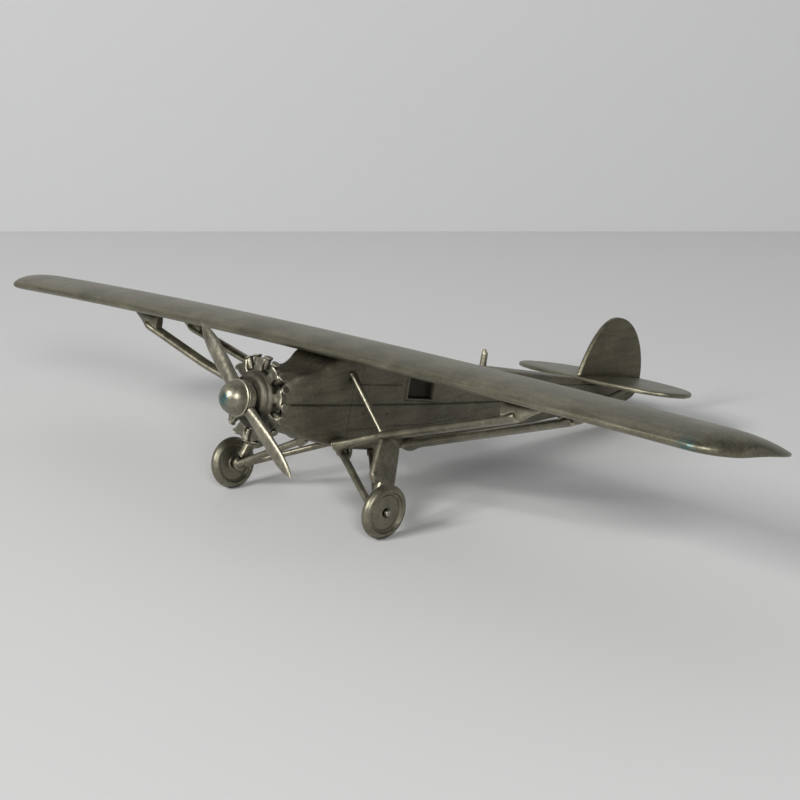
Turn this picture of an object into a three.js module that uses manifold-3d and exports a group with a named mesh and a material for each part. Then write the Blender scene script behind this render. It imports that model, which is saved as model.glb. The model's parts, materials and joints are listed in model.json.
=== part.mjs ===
// A cast-metal scale model of a high-wing, strut-braced monoplane with a nine-cylinder
// radial engine, standing tail-down on two wheels and a tail skid.
//
// Millimetres, +Z up, nose towards -Y, left (port) wing towards +X. The origin is the middle
// of the footprint of the whole model, on the surface that it stands on.
//
// The airframe is drawn level and then tipped back onto its skid. Its own coordinates are
// x to port, y aft from the spinner's centre, and z up from the thrust line.

import * as THREE from "three";
import { mergeVertices } from "three/addons/utils/BufferGeometryUtils.js";
import Module from "manifold-3d";

const wasm = await Module();
wasm.setup();

// ---------------------------------------------------------------- driving dimensions
const SPAN = 160;
const TAIL_DOWN = THREE.MathUtils.degToRad(12.58);
const THRUST_HEIGHT = 20.77;          // spinner centre above the floor
const GAP = 0.2;                      // clearance left at a joint line between two castings

const WING_CHORD = 21.9;
const WING_LEADING_EDGE = 7.6;        // aft of the spinner's centre
const WING_HEIGHT = 8.95;             // leading edge above the thrust line
const WING_INCIDENCE = THREE.MathUtils.degToRad(1.2);
const WING_THICKNESS = 2.9;
const WING_CAMBER = 0.87;
const WING_DROOP = { left: 1.05, right: 1.5 };   // how far each tip hangs below the middle
const TIP_LENGTH = 7.3;               // length of the rounded tip along the span
const TIP_NOSE_SWEEP = 5.5;           // how far the rounded tip takes the leading edge aft
const TIP_TAIL_SWEEP = 9.5;
const TIP_ROUNDING = 2.15;            // exponent of the tip's outline: 2 is an ellipse, more is squarer
const GUSSET_TOP = 7.0;               // top of the webs between the struts and the wing

const BODY_FRONT = 5.8;
const BODY_REAR = 92.5;
const SEAM = 0.1;                     // each fuselage half stops this far from the middle plane
const WINDOW = { front: 30.3, rear: 36.9, bottom: 1.85, top: 5.9, depth: 0.8 };

const ENGINE_CYLINDERS = 9;
const CRANKCASE_RADIUS = 4.5;
const CRANKCASE_FRONT = 1.95;
const CRANKCASE_REAR = 4.5;
const CYLINDER_STATION = 3.85;        // middle of the cylinders, aft of the spinner's centre
const BARREL_FOOT = 4.7;
const BARREL_HEAD = 6.2;
const ROCKER_LEAN = 0.22;             // radians that each rocker box leans away from the other
const ROCKER_SPREAD = 1.12;           // rocker box to the cylinder's own middle line
const ROCKER_MIDDLE = 5.65;           // middle of the rocker boxes' posts from the thrust line

const SPINNER_RADIUS = 2.62;
const SPINNER_FLANGE = 2.87;
const SPINNER_REAR = 0.22;
const HUB_RADIUS = 2.75;
const HUB_FRONT = 0.38;
const HUB_REAR = 1.75;
const BLADE_STATION = 1.1;
const BLADE_CONE = 0.65;              // how far the tips stand aft of the roots
const BLADE_ROOT = 1.9;
const BLADE_TIP = 15.5;
const BLADE_LEAN = THREE.MathUtils.degToRad(-53.5);   // upper blade, from upright: minus is to starboard
const SHAFT_RADIUS = 0.5;
const SHAFT_BORE = 0.65;
const SHAFT_HEAD = 1.05;              // radius of the head that keeps the shaft in the crankcase

const WHEEL_RADIUS = 4.23;
const WHEEL_WIDTH = 1.8;
const WHEEL_CAMBER = THREE.MathUtils.degToRad(4.5);
const WHEEL_TRACK = 36;               // between the middles of the two wheels
const WHEEL_STATION = 16.45;          // wheel centre, aft of the spinner's centre
const WHEEL_DROP = 13.29;             // wheel centre below the thrust line
const WHEEL_DISC = 3.1;               // radius where the tyre meets the disc
const AXLE_RADIUS = 0.42;
const WHEEL_BORE = 0.57;
const AXLE_DISC = 1.2;                // radius of the axle's inner flange
const AXLE_INNER = -2.2;              // stations along the axle, outwards from the wheel's middle
const AXLE_FLANGE = -1.35;
const AXLE_OUTER = 0.72;

const TAIL_HALF_SPAN = 18.3;
const TAIL_MIDDLE = 86.2;             // station of the tailplane's widest place
const TAIL_NOSE = 8.0;                // widest place to the leading edge
const TAIL_AFT = 10.3;
const TAIL_HEIGHT = 7.3;
const TAIL_RISE = 0.035;              // slope of the tailplane, up towards the trailing edge
const TAIL_THICKNESS = 1.0;
const FIN_THICKNESS = 1.0;
const FIN_TOP = 18.85;
const SKID_STATION = 89.3;
const SKID_WIDTH = 1.5;
const MAST_STATION = 52.9;
const MAST_RADIUS = 0.54;
const MAST_HEIGHT = 2.35;

// Points where the bracing meets, on the port side, in the airframe's coordinates.
const STRUT_ROOT_FRONT = [5.3, 17.4, -5.7];
const STRUT_ROOT_REAR = [5.3, 33.0, -5.2];
const STRUT_KNEE = [12.7, 19.05, -2.7];
const STRUT_TIP_FRONT = [42.1, 14.3, 5.45];
const STRUT_TIP_REAR = [43.6, 24.8, 5.6];
const RIGHT_STRUT_BOW = 0.5;          // the right front strut hangs this far below a straight line
const STRUT_CHORD = 2.4;
const STRUT_THICKNESS = 1.1;
const CABANE_TOP = [5.3, 18.2, 5.4];
const LEG_TOP = [13.6, 19.8, -3.8];
const LEG_MIDDLE = [15.6, 17.3, -9.95];
const AXLE_STRUT_ROOT_FRONT = [4.3, 18.9, -6.8];
const AXLE_STRUT_ROOT_REAR = [4.3, 24.2, -6.95];
const TAIL_BRACE_LOW = [1.75, 86.0, 3.9];
const TAIL_BRACE_HIGH = [7.2, 84.4, 6.4];

// ---------------------------------------------------------------- materials
const metal = (color, roughness, metalness) => new THREE.MeshStandardMaterial({ color, roughness, metalness });
const pewterBody = metal(0x78745f, 0.48, 0.9);
const pewterEngine = metal(0x5d5a4c, 0.55, 0.9);
const pewterStrut = metal(0x86816a, 0.42, 0.9);
const pewterWheel = metal(0x6e6a56, 0.45, 0.9);
const steelPin = metal(0x8b897e, 0.35, 1.0);

const model = new THREE.Group();
const airframe = new THREE.Group();
airframe.rotation.x = -TAIL_DOWN;
airframe.position.z = THRUST_HEIGHT;
model.add(airframe);

function addPiece(parent, name, geometry, material) {
  const mesh = new THREE.Mesh(geometry, material);
  mesh.name = name;
  parent.add(mesh);
  return mesh;
}

// ---------------------------------------------------------------- shape helpers
function signedVolume(geometry) {
  const position = geometry.getAttribute("position");
  const index = geometry.getIndex().array;
  const a = new THREE.Vector3();
  const b = new THREE.Vector3();
  const c = new THREE.Vector3();
  let volume = 0;
  for (let i = 0; i < index.length; i += 3) {
    a.fromBufferAttribute(position, index[i]);
    b.fromBufferAttribute(position, index[i + 1]);
    c.fromBufferAttribute(position, index[i + 2]);
    volume += a.dot(b.cross(c)) / 6;
  }
  return volume;
}

// A closed body through a row of rings, each with the same number of points, capped at both ends.
function skin(rings) {
  const count = rings[0].length;
  const points = rings.flat();
  const triangles = [];
  for (let r = 0; r + 1 < rings.length; r++) {
    for (let i = 0; i < count; i++) {
      const a = r * count + i;
      const b = r * count + (i + 1) % count;
      triangles.push(a, b, b + count, a, b + count, a + count);
    }
  }
  for (const [ring, flip] of [[0, true], [rings.length - 1, false]]) {
    const middle = new THREE.Vector3();
    rings[ring].forEach((p) => middle.addScaledVector(p, 1 / count));
    const hub = points.push(middle) - 1;
    for (let i = 0; i < count; i++) {
      const a = ring * count + i;
      const b = ring * count + (i + 1) % count;
      triangles.push(...(flip ? [hub, b, a] : [hub, a, b]));
    }
  }
  const geometry = new THREE.BufferGeometry().setFromPoints(points);
  geometry.setIndex(triangles);
  if (signedVolume(geometry) < 0) {
    geometry.setIndex(triangles.reverse());
  }
  return geometry;
}

function toSolid(geometry) {
  const bare = geometry.clone();
  bare.deleteAttribute("normal");
  bare.deleteAttribute("uv");
  const merged = mergeVertices(bare, 1e-4);
  return new wasm.Manifold(new wasm.Mesh({
    numProp: 3,
    vertProperties: Float32Array.from(merged.getAttribute("position").array),
    triVerts: Uint32Array.from(merged.getIndex().array),
  }));
}

function fromSolid(solid) {
  const mesh = solid.getMesh();
  const geometry = new THREE.BufferGeometry();
  geometry.setAttribute("position", new THREE.BufferAttribute(mesh.vertProperties, 3));
  geometry.setIndex(new THREE.BufferAttribute(mesh.triVerts, 1));
  return geometry;
}

function box(low, high) {
  const size = high.map((v, i) => v - low[i]);
  const geometry = new THREE.BoxGeometry(...size);
  geometry.translate(...high.map((v, i) => (v + low[i]) / 2));
  return geometry;
}

// A turned piece about the thrust line: the profile is a list of [radius, station] pairs.
function turnedAboutThrust(profile, segments) {
  const geometry = new THREE.LatheGeometry(profile.map((p) => new THREE.Vector2(...p)), segments);
  return signedVolume(geometry) < 0 ? flipped(geometry) : geometry;
}

function flipped(geometry) {
  const index = Array.from(geometry.getIndex().array);
  geometry.setIndex(index.reverse());
  return geometry;
}

// One ring of a strut: an oval of the given chord and thickness about a point. The chord lies
// fore and aft, square to the strut, and the ring is slid along the strut onto a mitre plane.
function strutRing(at, direction, chord, thickness, mitre, segments) {
  const across = new THREE.Vector3(0, 1, 0).addScaledVector(direction, -direction.y).normalize();
  const up = new THREE.Vector3().crossVectors(direction, across);
  const ring = [];
  for (let i = 0; i < segments; i++) {
    const angle = (2 * Math.PI * i) / segments;
    const point = new THREE.Vector3().addScaledVector(across, (chord / 2) * Math.cos(angle));
    point.addScaledVector(up, (thickness / 2) * Math.sin(angle));
    point.addScaledVector(direction, -point.dot(mitre) / direction.dot(mitre));
    ring.push(point.add(at));
  }
  return ring;
}

// A straight or bent strut through its points, with its two ends cut on the mitre planes.
function strut(points, chord, thickness, startMitre, endMitre, segments = 12) {
  const at = points.map((p) => new THREE.Vector3(...p));
  const last = at.length - 1;
  const rings = at.map((point, i) => {
    const before = at[Math.max(i - 1, 0)];
    const after = at[Math.min(i + 1, last)];
    const direction = new THREE.Vector3().subVectors(after, before).normalize();
    const mitre = i === 0 ? startMitre : i === last ? endMitre : null;
    const plane = mitre ? new THREE.Vector3(...mitre) : direction;
    return strutRing(point, direction, chord, thickness, plane, segments);
  });
  return skin(rings);
}

const mirrored = (point, side) => [side * point[0], point[1], point[2]];
const between = (from, to, t) => from.map((v, i) => v + (to[i] - v) * t);

// The point this far from one end of a line towards the other.
function along(from, to, distance) {
  const length = Math.hypot(...from.map((v, i) => to[i] - v));
  return between(from, to, distance / length);
}

// ---------------------------------------------------------------- fuselage
// Each curve runs through [station, value] points chosen for the shape of the casting.
function smoothCurve(knots) {
  const curve = new THREE.CatmullRomCurve3(knots.map(([s, v]) => new THREE.Vector3(s, v, 0)), false, "centripetal");
  const samples = curve.getPoints(160);
  return (station) => {
    const next = samples.findIndex((p) => p.x >= station);
    if (next <= 0) {
      return samples[next === 0 ? 0 : samples.length - 1].y;
    }
    const [a, b] = [samples[next - 1], samples[next]];
    return a.y + ((b.y - a.y) * (station - a.x)) / (b.x - a.x);
  };
}

const deckHeight = smoothCurve([[5.8, 4.4], [8, 4.85], [10.3, 5.1], [11.7, 5.9], [13.3, 7.3], [14.6, 7.85],
  [30, 7.85], [45, 7.5], [60, 7.0], [78, 6.3], [92.5, 6.1]]);
const keelHeight = smoothCurve([[5.8, -4.25], [7.6, -4.64], [11.3, -5.37], [16.7, -6.1], [20, -6.5], [24.2, -6.54],
  [30.6, -6.2], [35.4, -5.9], [40, -5.2], [66, -1.05], [92.5, 3.2]]);
const halfWidth = smoothCurve([[5.8, 4.2], [8.3, 4.6], [13, 5.0], [20.5, 5.1], [37, 4.95], [55.5, 3.55], [74, 2.15],
  [92.5, 0.7]]);
// Exponent of the section's superellipse: a circle at the engine, a box with soft corners behind.
const squareness = smoothCurve([[5.8, 2.3], [8.3, 3.4], [12, 6], [16.5, 10], [55, 10], [92.5, 6]]);

function fuselageRing(station, side, segments) {
  const power = 2 / squareness(station);
  const top = deckHeight(station);
  const bottom = keelHeight(station);
  const middle = (top + bottom) / 2;
  const half = (top - bottom) / 2;
  const ring = [];
  for (let i = 0; i <= segments; i++) {
    const angle = -Math.PI / 2 + (Math.PI * i) / segments;
    const x = halfWidth(station) * Math.pow(Math.max(Math.cos(angle), 0), power);
    const z = middle + half * Math.sign(Math.sin(angle)) * Math.pow(Math.abs(Math.sin(angle)), power);
    ring.push(new THREE.Vector3(side * Math.max(x, SEAM), station, z));
  }
  return ring;
}

const FUSELAGE_STATIONS = [BODY_FRONT, 7, 8.3, 9.6, 10.6, 11.5, 12.4, 13.3, 14.6, 17.5, 21, 26, 31.5, 39, 47, 56, 65, 74,
  83, BODY_REAR];

function fuselageHalf(side) {
  const rings = FUSELAGE_STATIONS.map((station) => fuselageRing(station, side, 20));
  const window = box([3, WINDOW.front, WINDOW.bottom], [9, WINDOW.rear, WINDOW.top]);
  const depthFrom = halfWidth(WINDOW.front) - WINDOW.depth - 3;
  window.translate(depthFrom, 0, 0);
  if (side < 0) {
    window.applyMatrix4(new THREE.Matrix4().makeTranslation(-2 * (depthFrom + 6), 0, 0));
  }
  return fromSolid(toSolid(skin(rings)).subtract(toSolid(window)));
}

addPiece(airframe, "fuselage_left_half", fuselageHalf(1), pewterBody);
addPiece(airframe, "fuselage_right_half", fuselageHalf(-1), pewterBody);

// ---------------------------------------------------------------- wing
// Half thickness of the section at a fraction of the chord, and the height of its middle line.
const sectionHalf = (c) => WING_THICKNESS * (1.4845 * Math.sqrt(c) - 0.63 * c - 1.758 * c ** 2 + 1.4215 * c ** 3
  - 0.5075 * c ** 4);
const sectionMiddle = (c) => WING_CAMBER * (c < 0.4 ? (0.8 * c - c * c) / 0.16 : (0.2 + 0.8 * c - c * c) / 0.36);

function wingRing(x, count) {
  const reach = THREE.MathUtils.clamp((Math.abs(x) - SPAN / 2 + TIP_LENGTH) / TIP_LENGTH, 0, 1);
  const round = 1 - Math.max(1 - reach ** TIP_ROUNDING, 0) ** (1 / TIP_ROUNDING);
  const nose = TIP_NOSE_SWEEP * round;
  const chord = WING_CHORD - nose - TIP_TAIL_SWEEP * round;
  const flat = Math.max(Math.sqrt(1 - round), 0.25);
  const droop = x > 0 ? WING_DROOP.left : WING_DROOP.right;
  const ring = [];
  for (let i = 0; i < count; i++) {
    const angle = (2 * Math.PI * i) / count;
    const c = (1 - Math.cos(angle)) / 2;
    const side = Math.sin(angle) >= 0 ? 1 : -1;
    const thick = Math.max(sectionHalf(c), 0.16);
    const h = flat * (sectionMiddle(c) + side * (i % (count / 2) === 0 ? 0 : thick));
    const along = nose + c * chord;
    const y = WING_LEADING_EDGE + along * Math.cos(WING_INCIDENCE) + h * Math.sin(WING_INCIDENCE);
    const z = WING_HEIGHT + h * Math.cos(WING_INCIDENCE) - along * Math.sin(WING_INCIDENCE);
    ring.push(new THREE.Vector3(x, y, z - droop * ((2 * x) / SPAN) ** 2));
  }
  return ring;
}

function wing() {
  const rounded = [1, 0.985, 0.94, 0.85, 0.7, 0.5, 0.25, 0].map((t) => SPAN / 2 - TIP_LENGTH * (1 - t));
  const straight = [60, 45, 30, 15];
  const half = [...rounded, ...straight];
  const stations = [...half.map((x) => -x), 0, ...half.reverse()];
  return skin(stations.map((x) => wingRing(x, 24)));
}

addPiece(airframe, "wing", wing(), pewterBody);

// ---------------------------------------------------------------- tail
const tailNose = (x) => TAIL_MIDDLE - TAIL_NOSE * (1 - (Math.abs(x) / TAIL_HALF_SPAN) ** 2.8) ** (1 / 2.8);
const tailEnd = (x) => TAIL_MIDDLE + TAIL_AFT * (1 - (Math.abs(x) / TAIL_HALF_SPAN) ** 2.1) ** (1 / 2.1);

const tailMiddle = (station) => TAIL_HEIGHT + TAIL_RISE * (station - TAIL_MIDDLE);

function tailplane() {
  const stations = [-0.995, -0.96, -0.88, -0.76, -0.6, -0.4, -0.2, 0, 0.2, 0.4, 0.6, 0.76, 0.88, 0.96, 0.995];
  const rings = stations.map((t) => {
    const x = t * TAIL_HALF_SPAN;
    const [from, to] = [tailNose(x), tailEnd(x)];
    const half = (TAIL_THICKNESS / 2) * Math.sqrt(1 - 0.75 * t ** 4);
    return Array.from({ length: 14 }, (_, i) => {
      const angle = (2 * Math.PI * i) / 14;
      const y = (from + to) / 2 - ((to - from) / 2) * Math.cos(angle);
      const z = tailMiddle(y) + half * Math.sign(Math.sin(angle)) * Math.abs(Math.sin(angle)) ** 0.6;
      return new THREE.Vector3(x, y, z);
    });
  });
  const slot = box([-FIN_THICKNESS / 2 - GAP, BODY_REAR - 0.6, 5], [FIN_THICKNESS / 2 + GAP, 110, 11]);
  return fromSolid(toSolid(skin(rings)).subtract(toSolid(slot)));
}

// The fin's leading edge leans back to a round top, and the rudder's edge runs down to the keel.
function finAndRudder() {
  const foot = (station) => tailMiddle(station) + TAIL_THICKNESS / 2 + GAP;
  const rudderFront = BODY_REAR + 0.3;
  const outline = new THREE.Shape();
  outline.moveTo(rudderFront, foot(rudderFront));
  outline.lineTo(78.6, foot(78.6));
  outline.bezierCurveTo(79.6, 11.5, 82.6, FIN_TOP, 87.8, FIN_TOP);
  outline.bezierCurveTo(93.3, FIN_TOP, 96.7, 13.2, 96.7, 7.6);
  outline.quadraticCurveTo(96.8, 4.6, rudderFront, 3.4);
  outline.closePath();
  const edge = 0.22;
  const geometry = new THREE.ExtrudeGeometry(outline, {
    depth: FIN_THICKNESS - 2 * edge, bevelThickness: edge, bevelSize: edge, bevelOffset: -edge, bevelSegments: 1,
    curveSegments: 14,
  });
  geometry.translate(0, 0, -FIN_THICKNESS / 2 + edge);
  // The outline is drawn in the XY plane: turn it so that its x runs aft and its y runs up.
  geometry.applyMatrix4(new THREE.Matrix4().set(0, 0, 1, 0, 1, 0, 0, 0, 0, 1, 0, 0, 0, 0, 0, 1));
  return fromSolid(toSolid(geometry));
}

addPiece(airframe, "tailplane", tailplane(), pewterBody);
addPiece(airframe, "fin_and_rudder", finAndRudder(), pewterBody);
for (const [name, side] of [["left_tail_brace", 1], ["right_tail_brace", -1]]) {
  const brace = strut([mirrored(TAIL_BRACE_LOW, side), mirrored(TAIL_BRACE_HIGH, side)], 1.1, 0.8, [1, 0, 0], [0, 0, 1]);
  addPiece(airframe, name, brace, pewterStrut);
}

// The skid is drawn upright on the floor, so that its sole lies flat when the tail is down.
const floorBelow = (station) => (station * Math.sin(TAIL_DOWN) - THRUST_HEIGHT) / Math.cos(TAIL_DOWN);
const skidStand = new THREE.Group();
skidStand.position.set(0, SKID_STATION, floorBelow(SKID_STATION));
skidStand.rotation.x = TAIL_DOWN;
airframe.add(skidStand);

// Where a point just under the keel lies in the stand's coordinates, aft and up from the sole.
function underKeel(station) {
  const height = keelHeight(station) - GAP;
  const [sine, cosine] = [Math.sin(TAIL_DOWN), Math.cos(TAIL_DOWN)];
  const aft = (station - SKID_STATION) * cosine + (height - floorBelow(SKID_STATION)) * sine;
  return [aft, THRUST_HEIGHT + height * cosine - station * sine];
}

function tailSkid() {
  const outline = new THREE.Shape();
  outline.moveTo(-0.8, 0);
  outline.lineTo(1.8, 0);
  outline.quadraticCurveTo(2.15, 0.45, 1.6, 0.85);
  outline.quadraticCurveTo(0.2, 1.0, -0.5, 2.3);
  outline.lineTo(...underKeel(87.9));
  outline.lineTo(...underKeel(86.4));
  outline.quadraticCurveTo(-2.1, 1.1, -0.8, 0);
  const geometry = new THREE.ExtrudeGeometry(outline, { depth: SKID_WIDTH, bevelEnabled: false, curveSegments: 8 });
  geometry.translate(0, 0, -SKID_WIDTH / 2);
  geometry.applyMatrix4(new THREE.Matrix4().set(0, 0, 1, 0, 1, 0, 0, 0, 0, 1, 0, 0, 0, 0, 0, 1));
  return fromSolid(toSolid(geometry));
}

addPiece(skidStand, "tail_skid", tailSkid(), pewterStrut);

function compassMast() {
  const base = deckHeight(MAST_STATION) + GAP;
  const post = new THREE.CylinderGeometry(MAST_RADIUS, MAST_RADIUS + 0.04, MAST_HEIGHT, 16);
  post.rotateX(Math.PI / 2);
  post.translate(0, MAST_STATION, base + MAST_HEIGHT / 2);
  const tip = new THREE.CylinderGeometry(0.34, 0.34, 0.6, 12);
  tip.rotateX(Math.PI / 2);
  tip.translate(0, MAST_STATION - 0.14, base + MAST_HEIGHT + 0.1);
  return fromSolid(toSolid(post).add(toSolid(tip)));
}

addPiece(airframe, "compass_mast", compassMast(), pewterStrut);

// ---------------------------------------------------------------- engine and propeller
function crankcase() {
  const pocket = SHAFT_HEAD + 0.2;
  const pocketFront = CRANKCASE_REAR - 0.85;
  return turnedAboutThrust([
    [SHAFT_BORE, CRANKCASE_FRONT], [3.05, CRANKCASE_FRONT], [3.65, 2.2], [4.1, 2.7], [CRANKCASE_RADIUS, 3.2],
    [CRANKCASE_RADIUS, CRANKCASE_REAR], [pocket, CRANKCASE_REAR], [pocket, pocketFront],
    [SHAFT_BORE, pocketFront], [SHAFT_BORE, CRANKCASE_FRONT],
  ], 36);
}

const PLATE_FRONT = CRANKCASE_REAR + GAP;
const PLATE_RADIUS = 3.95;
addPiece(airframe, "crankcase", crankcase(), pewterEngine);
addPiece(airframe, "engine_mount_plate", turnedAboutThrust([
  [0, PLATE_FRONT], [PLATE_RADIUS - 0.4, PLATE_FRONT], [PLATE_RADIUS, PLATE_FRONT + 0.3],
  [PLATE_RADIUS, BODY_FRONT - GAP], [0, BODY_FRONT - GAP],
], 32), pewterEngine);

// One cylinder, drawn standing on the thrust line: a flat-fronted barrel that flares outwards,
// and two round rocker boxes that lean away from each other.
function engineCylinder() {
  const ring = (height, width, depth) => [[-1, -1], [1, -1], [1, 1], [-1, 1]].map(([sx, sy]) =>
    new THREE.Vector3((sx * width) / 2, CYLINDER_STATION + (sy * depth) / 2, height));
  let solid = toSolid(skin([ring(BARREL_FOOT, 1.55, 1.3), ring(5.15, 1.65, 1.3), ring(BARREL_HEAD, 2.75, 1.15)]));
  for (const side of [-1, 1]) {
    const post = new THREE.CylinderGeometry(0.57, 0.46, 1.75, 10);
    const cap = new THREE.CylinderGeometry(0.83, 0.74, 0.46, 12);
    cap.translate(0, 0.87, 0);
    for (const piece of [post, cap]) {
      piece.rotateX(Math.PI / 2);
      piece.rotateY(side * ROCKER_LEAN);
      piece.translate(side * ROCKER_SPREAD, CYLINDER_STATION + 0.2, ROCKER_MIDDLE);
      solid = solid.add(toSolid(piece));
    }
  }
  return fromSolid(solid);
}

for (let i = 0; i < ENGINE_CYLINDERS; i++) {
  const cylinder = addPiece(airframe, `cylinder_${i + 1}`, engineCylinder(), pewterEngine);
  cylinder.rotation.y = (2 * Math.PI * i) / ENGINE_CYLINDERS;
}

const SHAFT_FRONT = -1.1;

function spinner() {
  const profile = [];
  const steps = 10;
  for (let i = 0; i <= steps; i++) {
    const angle = (Math.PI / 2) * (i / steps);
    profile.push([SPINNER_RADIUS * Math.sin(angle), -SPINNER_RADIUS * Math.cos(angle)]);
  }
  const blindEnd = SHAFT_FRONT - 0.1;
  profile.push([SPINNER_FLANGE, 0], [SPINNER_FLANGE, SPINNER_REAR], [SHAFT_BORE, SPINNER_REAR], [SHAFT_BORE, blindEnd]);
  profile.push([0, blindEnd]);
  return turnedAboutThrust(profile, 32);
}

// One blade along +Z: an oval section that is widest past the middle and turns flatter outwards.
function propellerBlade() {
  const stations = [0, 0.12, 0.3, 0.5, 0.68, 0.82, 0.92, 0.975, 1];
  const rings = stations.map((t) => {
    const chord = 1.0 + 1.75 * Math.sin(Math.PI * Math.min(t * 0.86 + 0.07, 1)) ** 0.9;
    const width = chord * Math.sqrt(Math.max(1 - Math.max((t - 0.72) / 0.3, 0) ** 2, 0.04));
    const thick = 0.9 - 0.5 * t;
    const twist = THREE.MathUtils.degToRad(18 - 12 * t);
    return Array.from({ length: 12 }, (_, i) => {
      const angle = (2 * Math.PI * i) / 12;
      const a = (width / 2) * Math.cos(angle);
      const b = (thick / 2) * Math.sin(angle);
      const x = a * Math.cos(twist) - b * Math.sin(twist);
      const y = a * Math.sin(twist) + b * Math.cos(twist);
      return new THREE.Vector3(x, BLADE_STATION + BLADE_CONE * t + y, BLADE_ROOT + t * (BLADE_TIP - BLADE_ROOT));
    });
  });
  return skin(rings);
}

function propeller() {
  const hub = turnedAboutThrust([
    [SHAFT_BORE, HUB_FRONT], [HUB_RADIUS, HUB_FRONT], [HUB_RADIUS, HUB_REAR], [SHAFT_BORE, HUB_REAR],
    [SHAFT_BORE, HUB_FRONT],
  ], 32);
  let solid = toSolid(hub);
  for (const turn of [0, Math.PI]) {
    const blade = propellerBlade();
    blade.rotateY(turn + BLADE_LEAN);
    solid = solid.add(toSolid(blade));
  }
  return fromSolid(solid);
}

addPiece(airframe, "spinner", spinner(), pewterBody);
addPiece(airframe, "propeller", propeller(), pewterStrut);
addPiece(airframe, "propeller_shaft", turnedAboutThrust([
  [0, SHAFT_FRONT], [SHAFT_RADIUS, SHAFT_FRONT], [SHAFT_RADIUS, CRANKCASE_REAR - 0.7],
  [SHAFT_HEAD, CRANKCASE_REAR - 0.7], [SHAFT_HEAD, CRANKCASE_REAR - 0.15], [0, CRANKCASE_REAR - 0.15],
], 20), steelPin);

// ---------------------------------------------------------------- wheels and axles
// The wheels stand on the floor, so they are placed in the model's own upright coordinates.
function toUpright([x, y, z]) {
  return new THREE.Vector3(x, y, z).applyEuler(airframe.rotation).add(airframe.position);
}

function toAirframe(point) {
  const back = new THREE.Euler(-airframe.rotation.x, 0, 0);
  return point.clone().sub(airframe.position).applyEuler(back).toArray();
}

const wheelHeight = WHEEL_RADIUS * Math.cos(WHEEL_CAMBER);
const wheelAft = toUpright([0, WHEEL_STATION, -WHEEL_DROP]).y;
const wheelCentre = (side) => new THREE.Vector3((side * WHEEL_TRACK) / 2, wheelAft, wheelHeight);
const axleDirection = (side) => new THREE.Vector3(side * Math.cos(WHEEL_CAMBER), 0, -Math.sin(WHEEL_CAMBER));

// Turned about the axle: the profile's stations run outwards from the wheel's middle.
function turnedAboutAxle(profile, segments, side) {
  const geometry = turnedAboutThrust(profile, segments);
  geometry.applyQuaternion(new THREE.Quaternion().setFromUnitVectors(new THREE.Vector3(0, 1, 0), axleDirection(side)));
  return geometry;
}

function wheelProfile() {
  const half = WHEEL_WIDTH / 2;
  const crown = [-80, -45, -15, 15, 45, 80].map((degrees) => {
    const angle = THREE.MathUtils.degToRad(degrees);
    return [WHEEL_RADIUS - half + half * Math.cos(angle), half * Math.sin(angle)];
  });
  return [
    [WHEEL_BORE, -0.65], [1.0, -0.65], [1.2, -0.42], [WHEEL_DISC - 0.2, -0.42], [WHEEL_DISC, -half * 0.85], ...crown,
    [WHEEL_DISC, half * 0.85], [WHEEL_DISC - 0.2, 0.45], [1.2, 0.45], [1.0, 0.55], [WHEEL_BORE, 0.55],
    [WHEEL_BORE, -0.65],
  ];
}

const rivetProfile = [[0, 0.1], [0.6, 0.1], [0.55, 0.28], [0.32, 0.38], [0, 0.38]].map(([radius, step]) =>
  [radius, AXLE_OUTER + step]);
for (const [word, side] of [["left", 1], ["right", -1]]) {
  const pieces = [
    ["wheel", wheelProfile(), 36, pewterWheel],
    ["axle", [
      [0, AXLE_INNER], [AXLE_DISC - 0.25, AXLE_INNER], [AXLE_DISC, AXLE_INNER + 0.25], [AXLE_DISC, AXLE_FLANGE],
      [AXLE_RADIUS, AXLE_FLANGE], [AXLE_RADIUS, AXLE_OUTER], [0, AXLE_OUTER],
    ], 20, pewterStrut],
    ["hub_rivet", rivetProfile, 20, steelPin],
  ];
  for (const [name, profile, segments, material] of pieces) {
    const mesh = addPiece(model, `${word}_${name}`, turnedAboutAxle(profile, segments, side), material);
    mesh.position.copy(wheelCentre(side));
  }
}

// ---------------------------------------------------------------- bracing and undercarriage legs
// The gusset is a thin web between a strut's outer end and the underside of the wing.
function gusset(tip, side) {
  const ring = (reach, bottom, width) => [[-1, bottom], [1, bottom], [1, GUSSET_TOP], [-1, GUSSET_TOP]].map(([sy, z]) =>
    new THREE.Vector3(side * (tip[0] + reach), tip[1] + (sy * width) / 2, z));
  return skin([ring(-2, 6.4, 0.85), ring(0, tip[2] - 0.2, 1.05), ring(0.85, tip[2], 1.05), ring(4.3, 6.75, 0.75)]);
}

function wingStrut(points, chord, thickness, side) {
  const bar = strut(points.map((p) => mirrored(p, side)), chord, thickness, [1, 0, 0], [1, 0, 0]);
  return fromSolid(toSolid(bar).add(toSolid(gusset(points[points.length - 1], side))));
}

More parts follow.
